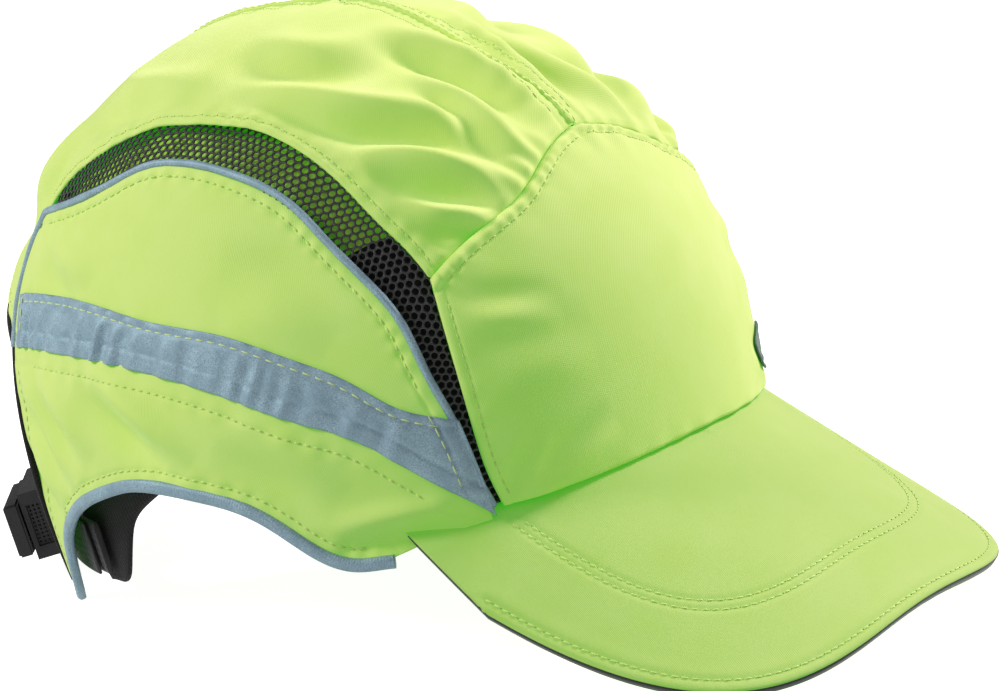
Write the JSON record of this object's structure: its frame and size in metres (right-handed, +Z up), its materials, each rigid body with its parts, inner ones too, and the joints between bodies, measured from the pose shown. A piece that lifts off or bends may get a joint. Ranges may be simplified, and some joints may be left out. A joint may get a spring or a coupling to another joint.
{
  "type": "bump cap",
  "caption": "Baseball-style bump cap: hi-vis fabric over a hard impact shell, mesh side vents, reflective bands and a rear strap with a cam buckle.",
  "frame": {"origin": "middle of the footprint of the whole cap, on the surface it stands on", "axes": "+Z up, the brim points to -Y, the wearer's right is -X"},
  "size_m": [0.1868, 0.2666, 0.1495],
  "materials": {
    "hi_vis_fabric": "woven polyester, hi-vis yellow-green, matt",
    "reflective_tape": "retroreflective fabric tape, silver grey",
    "black_fabric": "black knitted fabric",
    "vent_mesh": "open black hexagonal mesh",
    "black_foam": "black closed-cell foam pad",
    "hi_vis_polymer": "moulded hi-vis polymer",
    "black_plastic": "moulded black polymer, fine spark texture",
    "green_patch": "plain dark green patch",
    "webbing": "black woven webbing",
    "pin_steel": "small steel pin"
  },
  "bodies": {
    "root": {"front_panel": "hi_vis_fabric", "crown_panel_right": "hi_vis_fabric", "crown_panel_left": "hi_vis_fabric", "crown_seam_tape": "hi_vis_fabric", "side_panel_right": "hi_vis_fabric", "side_panel_left": "hi_vis_fabric", "vent_mesh_right": "vent_mesh", "vent_mesh_left": "vent_mesh", "vent_lining_right": "black_fabric", "vent_lining_left": "black_fabric", "vent_piping_right": "reflective_tape", "vent_piping_left": "reflective_tape", "reflective_band_right": "reflective_tape", "reflective_band_left": "reflective_tape", "hem_binding_right": "reflective_tape", "hem_binding_left": "reflective_tape", "rear_arch_binding": "black_fabric", "front_patch": "green_patch", "brim_top_cover": "hi_vis_fabric", "brim_under_cover": "hi_vis_fabric", "brim_board": "black_plastic", "impact_shell": "hi_vis_polymer", "crown_pad": "black_foam", "front_pad": "black_foam", "rear_pad": "black_foam", "side_pad_right": "black_foam", "side_pad_left": "black_foam", "sweatband": "black_fabric", "wing_lining_right": "black_fabric", "wing_lining_left": "black_fabric", "buckle_webbing": "webbing", "buckle_body": "black_plastic", "buckle_pin": "pin_steel"},
    "strap": {"adjuster_strap": "webbing"},
    "lever": {"buckle_lever": "black_plastic"}
  },
  "joints": [
    {"name": "strap_adjust", "type": "hinge", "parent": "root", "child": "strap", "pos_m": [0, 0.0344, 0.0191], "axis": [0, 0.0337, 0.9994], "range_deg": [-6, 6]},
    {"name": "lever_hinge", "type": "hinge", "parent": "root", "child": "lever", "pos_m": [-0.0502, 0.1121, 0.0151], "axis": [0.1194, -0.1883, -0.9748], "range_deg": [0, 80]}
  ]
}
